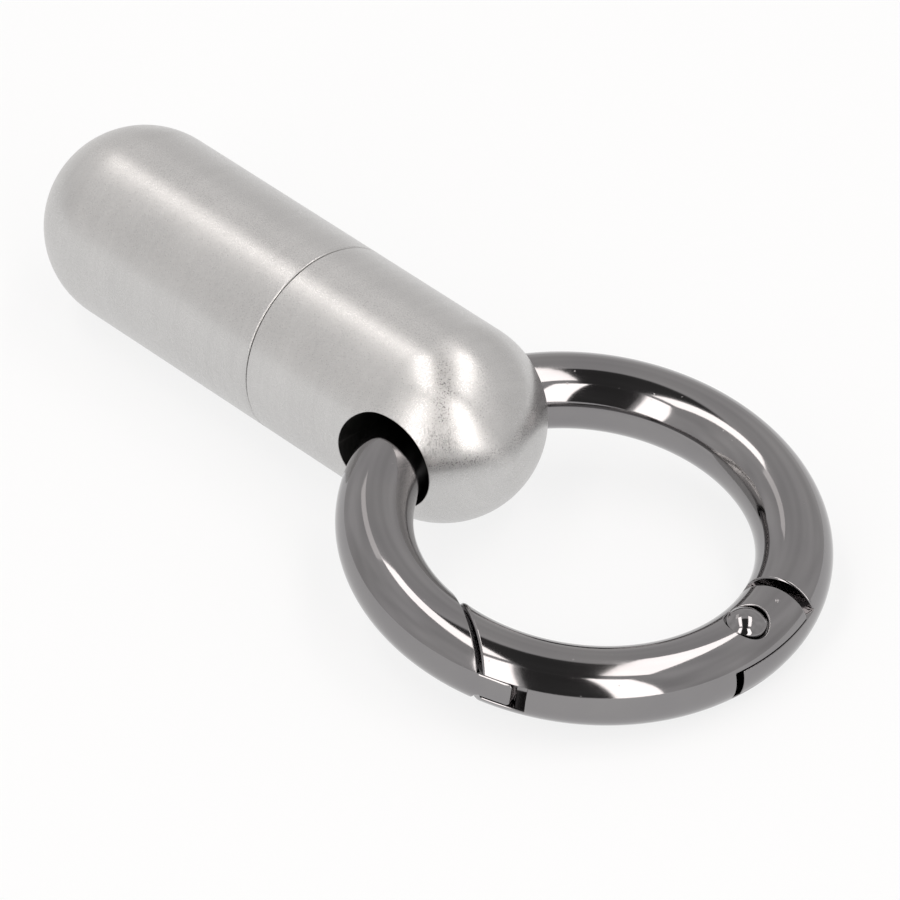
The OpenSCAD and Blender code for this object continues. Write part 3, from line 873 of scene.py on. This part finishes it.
def metal(name, colour, anisotropic=0.0):
    """A bare metal with its shader and the short calls for its nodes."""
    material = bpy.data.materials.new(name)
    material.use_nodes = True
    shader = material.node_tree.nodes["Principled BSDF"]
    shader.inputs["Base Color"].default_value = (*colour, 1)
    shader.inputs["Metallic"].default_value = 1.0
    shader.inputs["Anisotropic"].default_value = anisotropic
    return material, shader, Nodes(material.node_tree)


def mixed_colour(nodes, factor, first, second):
    """A mix of two colours. A Mix node has its two colour sockets after those for numbers and vectors."""
    made = nodes.add("ShaderNodeMix", data_type='RGBA')
    nodes.feed(made.inputs["Factor"], factor)
    for socket, colour in ((made.inputs[6], first), (made.inputs[7], second)):
        nodes.feed(socket, colour if isinstance(colour, bpy.types.NodeSocket) else (*colour, 1))
    return made.outputs[2]


def turned_steel(name, end):
    """Satin steel: fine turned lines round the axis, faint scratches and small uneven patches."""
    material, shader, nodes = metal(name, STEEL, anisotropic=0.65)
    grain = use(nodes, grain_group, End=end)
    handling = use(nodes, marks_group, Size=1.0)
    place = nodes.place()
    patches = nodes.noise(place, scale=240.0, detail=3.0)
    speckle = nodes.noise(place, scale=3600.0, detail=2.0, rough=0.6)
    glints = nodes.noise(place, scale=11000.0, detail=2.0, rough=0.6)
    tone = nodes.math('ADD', nodes.math('MULTIPLY', grain.outputs["Tone"], 0.8),
                      nodes.math('MULTIPLY', nodes.math('ADD', patches, speckle), 0.35))
    scuff = use(nodes, scuff_group).outputs["Scuff"]
    clean = mixed_colour(nodes, nodes.spread(tone, 0.25, 0.75), STEEL_DARK, STEEL_PALE)
    dull = nodes.math('MULTIPLY', scuff, 0.6)
    nodes.feed(shader.inputs["Base Color"], mixed_colour(nodes, dull, clean, SCUFFED_STEEL))
    rough = nodes.math('ADD', nodes.spread(glints, 0.42, 0.62, 0.43, 0.25),
                       nodes.spread(patches, 0.3, 0.7, -0.02, 0.02))
    rough = nodes.math('SUBTRACT', rough, nodes.math('MULTIPLY', handling.outputs["Lines"], 0.02))
    nodes.feed(shader.inputs["Roughness"], nodes.math('ADD', rough, nodes.math('MULTIPLY', scuff, 0.12)))
    tangent = nodes.add("ShaderNodeTangent", direction_type='RADIAL', axis='X')
    nodes.feed(shader.inputs["Tangent"], tangent.outputs[0])
    shader.inputs["Anisotropic Rotation"].default_value = 0.25
    worn = nodes.math('ADD', nodes.math('MULTIPLY', handling.outputs["Lines"], 0.06),
                      nodes.math('MULTIPLY', scuff, 4.0))
    height = nodes.math('ADD', nodes.math('SUBTRACT', grain.outputs["Height"], worn),
                        nodes.math('MULTIPLY', speckle, 0.9))
    nodes.feed(shader.inputs["Normal"], nodes.bump(height, distance=2.2e-6))
    return material


def gunmetal():
    """Polished dark plating: slight waves, cloudy tone and a few pits."""
    material, shader, nodes = metal("gunmetal_plating", PLATING)
    place = nodes.place()
    pits = use(nodes, marks_group, Size=1.4).outputs["Pits"]
    waves = nodes.noise(place, scale=420.0, detail=2.0)
    cloud = nodes.noise(place, scale=160.0, detail=3.0)
    nodes.feed(shader.inputs["Base Color"],
               mixed_colour(nodes, nodes.spread(cloud, 0.3, 0.7), PLATING_DARK, PLATING_PALE))
    nodes.feed(shader.inputs["Roughness"], nodes.math('ADD', nodes.spread(cloud, 0.3, 0.7, 0.055, 0.10),
                                                      nodes.math('MULTIPLY', pits, 0.2)))
    height = nodes.math('SUBTRACT', nodes.math('MULTIPLY', waves, 4.0), nodes.math('MULTIPLY', pits, 1.5))
    nodes.feed(shader.inputs["Normal"], nodes.bump(height, distance=1.0e-6))
    return material


def inside_steel_painted_shade():
    """The bored walls inside the cap, with the drill's rings and a dull finish, their colour painted near
    black as painted shade inside the hole.
    """
    material, shader, nodes = metal("bored_steel_painted_shade", BORE_PAINTED_SHADE)
    stretched = nodes.vector('MULTIPLY', nodes.place(), (900.0, 9000.0, 900.0))
    rings = nodes.noise(stretched, scale=1.0, detail=2.0)
    nodes.feed(shader.inputs["Roughness"], nodes.spread(rings, 0.3, 0.7, 0.35, 0.5))
    nodes.feed(shader.inputs["Base Color"], mixed_colour(nodes, rings, BORE_PAINTED_SHADE_DARK, BORE_PAINTED_SHADE_PALE))
    nodes.feed(shader.inputs["Normal"], nodes.bump(rings, distance=4e-6))
    return material


def seal_rubber():
    """Black rubber with a dull, slightly dusty skin."""
    material = bpy.data.materials.new("seal_rubber")
    material.use_nodes = True
    shader = material.node_tree.nodes["Principled BSDF"]
    nodes = Nodes(material.node_tree)
    place = nodes.place()
    grain = nodes.noise(place, scale=9000.0, detail=3.0)
    cloud = nodes.noise(place, scale=700.0, detail=3.0)
    nodes.feed(shader.inputs["Base Color"], mixed_colour(nodes, cloud, RUBBER_DARK, RUBBER_PALE))
    nodes.feed(shader.inputs["Roughness"], nodes.spread(cloud, 0.3, 0.7, 0.5, 0.66))
    nodes.feed(shader.inputs["Normal"], nodes.bump(grain, distance=6e-6))
    return material


def drawn_wire():
    """Bright spring steel with a fine grain."""
    material, shader, nodes = metal("drawn_wire", WIRE)
    grain = nodes.noise(nodes.place(), scale=16000.0, detail=2.0)
    nodes.feed(shader.inputs["Base Color"], mixed_colour(nodes, grain, WIRE_DARK, WIRE_PALE))
    nodes.feed(shader.inputs["Roughness"], nodes.spread(grain, 0.3, 0.7, 0.2, 0.34))
    nodes.feed(shader.inputs["Normal"], nodes.bump(grain, distance=1.5e-6))
    return material


# Studio: a tent whose front looks this far round from +X
TENT_TURN = math.radians(-42)
WALL, OPENING_LEVEL = 0.73, 0.07
WALL_COLOUR, LAMP_COLOUR = (1, 0.985, 0.978), (1, 0.955, 0.925)
FRONT_RADIANCE, ROOF_RADIANCE, FAR_RADIANCE = 3.6, 3.3, 0.7
# Openings and lamps lie on two planes 1 m away, one in front and one overhead. Each is given by its lowest
# and highest place across and up, and on the roof by its lowest and highest place forward and across
FRONT_OPENING, FRONT_SOFT = (-0.36, 0.27, 0.0, 1.6), 0.03
ROOF_OPENING, ROOF_SOFT = (-0.25, 0.66, -0.20, 0.27), 0.05
FRONT_LAMPS = {"lamp_left": (-0.84, -0.40, 0.06, 1.7), "lamp_right": (0.287, 0.70, -0.03, 1.46)}
ROOF_LAMPS = {"lamp_roof_left": (-0.44, 0.45, -0.43, -0.2, ROOF_RADIANCE),
              "lamp_roof_far": (-1.05, -0.42, -0.66, -0.4, FAR_RADIANCE),
              "lamp_roof_right": (-0.5, 0.45, 0.27, 0.54, ROOF_RADIANCE)}
# The share of the table's look that is plain white light, while the rest takes the shadow
FLOOR_GLOW = 0.8
# The camera's direction and roll in degrees, and its place in metres
VIEW_AZIMUTH, VIEW_HEIGHT, VIEW_ROLL = 48.2637, 36.7000, 0.8897
VIEW_FROM = (0.401330, -0.353818, 0.401344)


def make_world():
    """A pale light tent with a dark opening in front and another in its roof. The camera sees white."""
    world = bpy.data.worlds.new("light_tent")
    bpy.context.scene.world = world
    world.use_nodes = True
    world.node_tree.nodes.clear()
    nodes = Nodes(world.node_tree)
    turn = nodes.add("ShaderNodeVectorRotate", rotation_type='Z_AXIS')
    turn.inputs["Angle"].default_value = -TENT_TURN
    nodes.feed(turn.inputs["Vector"], nodes.add("ShaderNodeTexCoord").outputs["Generated"])
    split = nodes.add("ShaderNodeSeparateXYZ")
    nodes.feed(split.inputs[0], turn.outputs[0])
    x, y, z = split.outputs

    def patch(u, v, facing, low_u, high_u, low_v, high_v, soft):
        """1 inside a soft-edged rectangle on the side of the tent that a direction faces, and 0 outside."""
        sides = [nodes.spread(u, low_u - soft, low_u + soft, soft=True),
                 nodes.spread(u, high_u + soft, high_u - soft, soft=True),
                 nodes.spread(v, low_v - soft, low_v + soft, soft=True),
                 nodes.spread(v, high_v + soft, high_v - soft, soft=True),
                 nodes.spread(facing, 0.0, 0.05, soft=True)]
        total = sides[0]
        for side in sides[1:]:
            total = nodes.math('MULTIPLY', total, side)
        return total

    def place_on(far, across, up):
        """Where a direction meets the plane 1 m away, and how far it faces that side."""
        reach = nodes.math('MAXIMUM', far, 0.02)
        return nodes.math('DIVIDE', across, reach), nodes.math('DIVIDE', up, reach), far

    front = patch(*place_on(x, y, z), *FRONT_OPENING, FRONT_SOFT)
    roof = patch(*place_on(z, x, y), *ROOF_OPENING, ROOF_SOFT)
    folds = nodes.spread(nodes.noise(turn.outputs[0], scale=2.2, detail=1.0), 0.3, 0.7, 0.86, 1.16)
    level = nodes.math('MULTIPLY', folds,
                       nodes.spread(nodes.math('MAXIMUM', front, roof), 0.0, 1.0, WALL, OPENING_LEVEL))
    tent = nodes.add("ShaderNodeBackground")
    tent.inputs[0].default_value = (*WALL_COLOUR, 1)
    nodes.feed(tent.inputs[1], level)
    white = nodes.add("ShaderNodeBackground")
    white.inputs[0].default_value = (1, 1, 1, 1)
    seen = nodes.add("ShaderNodeMixShader")
    nodes.feed(seen.inputs[0], nodes.add("ShaderNodeLightPath").outputs["Is Camera Ray"])
    nodes.feed(seen.inputs[1], tent.outputs[0])
    nodes.feed(seen.inputs[2], white.outputs[0])
    nodes.feed(nodes.add("ShaderNodeOutputWorld").inputs[0], seen.outputs[0])


def tent_lamp(name, middle, half_u, half_v, radiance):
    """A rectangular lamp from its middle and its two half sides, in the tent's own frame, in metres."""
    turn = Matrix.Rotation(TENT_TURN, 3, 'Z')
    middle, half_u, half_v = turn @ Vector(middle), turn @ Vector(half_u), turn @ Vector(half_v)
    light = bpy.data.lights.new(name, 'AREA')
    light.shape = 'RECTANGLE'
    light.size, light.size_y = 2 * half_u.length, 2 * half_v.length
    light.energy = radiance * math.pi * light.size * light.size_y
    light.color = LAMP_COLOUR
    lamp = bpy.data.objects.new(name, light)
    bpy.context.scene.collection.objects.link(lamp)
    x, y = half_u.normalized(), half_v.normalized()
    if x.cross(y).dot(middle) < 0:
        y = -y
    lamp.matrix_world = Matrix.Translation(middle) @ Matrix((x, y, x.cross(y))).transposed().to_4x4()


def make_lamps():
    """Two tall soft boxes beside the front opening and three strips beside the roof's, 1 m away."""
    for name, (low_u, high_u, low_v, high_v) in FRONT_LAMPS.items():
        tent_lamp(name, (1, (low_u + high_u) / 2, (low_v + high_v) / 2), (0, (high_u - low_u) / 2, 0),
                  (0, 0, (high_v - low_v) / 2), FRONT_RADIANCE)
    for name, (low_u, high_u, low_v, high_v, radiance) in ROOF_LAMPS.items():
        tent_lamp(name, ((low_u + high_u) / 2, (low_v + high_v) / 2, 1), ((high_u - low_u) / 2, 0, 0),
                  (0, (high_v - low_v) / 2, 0), radiance)


def make_floor():
    """A white table that keeps a faint shadow."""
    bpy.ops.mesh.primitive_plane_add(size=6)
    floor = bpy.context.object
    floor.name = "floor"
    material = bpy.data.materials.new("white_table")
    material.use_nodes = True
    nodes = Nodes(material.node_tree)
    shader = material.node_tree.nodes["Principled BSDF"]
    shader.inputs["Base Color"].default_value = (0.78, 0.78, 0.78, 1)
    shader.inputs["Roughness"].default_value = 0.9
    shader.inputs["Specular IOR Level"].default_value = 0.1
    rays = nodes.add("ShaderNodeLightPath").outputs
    indirect = nodes.math('MAXIMUM', rays["Is Glossy Ray"], rays["Is Transmission Ray"])
    seen = nodes.math('MAXIMUM', rays["Is Camera Ray"], indirect)
    glow = nodes.add("ShaderNodeEmission")
    mix = nodes.add("ShaderNodeMixShader")
    nodes.feed(mix.inputs[0], nodes.math('MULTIPLY', seen, FLOOR_GLOW))
    nodes.feed(mix.inputs[1], shader.outputs[0])
    nodes.feed(mix.inputs[2], glow.outputs[0])
    nodes.feed(material.node_tree.nodes["Material Output"].inputs[0], mix.outputs[0])
    floor.data.materials.append(material)


def make_camera():
    """The photograph's view: a long lens from the front right, above."""
    data = bpy.data.cameras.new("camera")
    camera = bpy.data.objects.new("camera", data)
    bpy.context.scene.collection.objects.link(camera)
    azimuth, height, roll = (math.radians(a) for a in (VIEW_AZIMUTH, VIEW_HEIGHT, VIEW_ROLL))
    right = Vector((math.cos(azimuth), math.sin(azimuth), 0))
    level = Vector((math.sin(azimuth), -math.cos(azimuth), 0))
    back = level * math.cos(height) + Vector((0, 0, math.sin(height)))
    up = back.cross(right)
    x = math.cos(roll) * right - math.sin(roll) * up
    y = math.sin(roll) * right + math.cos(roll) * up
    camera.matrix_world = Matrix.Translation(VIEW_FROM) @ Matrix((x, y, back)).transposed().to_4x4()
    data.lens = 360
    data.sensor_width = 36
    data.clip_end = 20
    bpy.context.scene.camera = camera


grain_group, marks_group, scuff_group = turned_grain(), fine_marks(), dome_scuff()
steel_pill, steel_cap = turned_steel("turned_steel_pill", -1.0), turned_steel("turned_steel_cap", 1.0)
# The inside steel is painted near black, as painted shade for the cap's dark inside
steel_inside_painted_shade, plate, rubber, wire = inside_steel_painted_shade(), gunmetal(), seal_rubber(), drawn_wire()

make_pill_body()
make_cap()
make_neck_seal()
make_ring_frame()
make_ring_gate()
make_hinge_rivet()
make_plunger()
make_gate_spring()
for material in marks:
    bpy.data.materials.remove(material)

make_world()
make_lamps()
make_floor()
make_camera()
bpy.context.scene.view_settings.view_transform = 'Standard'
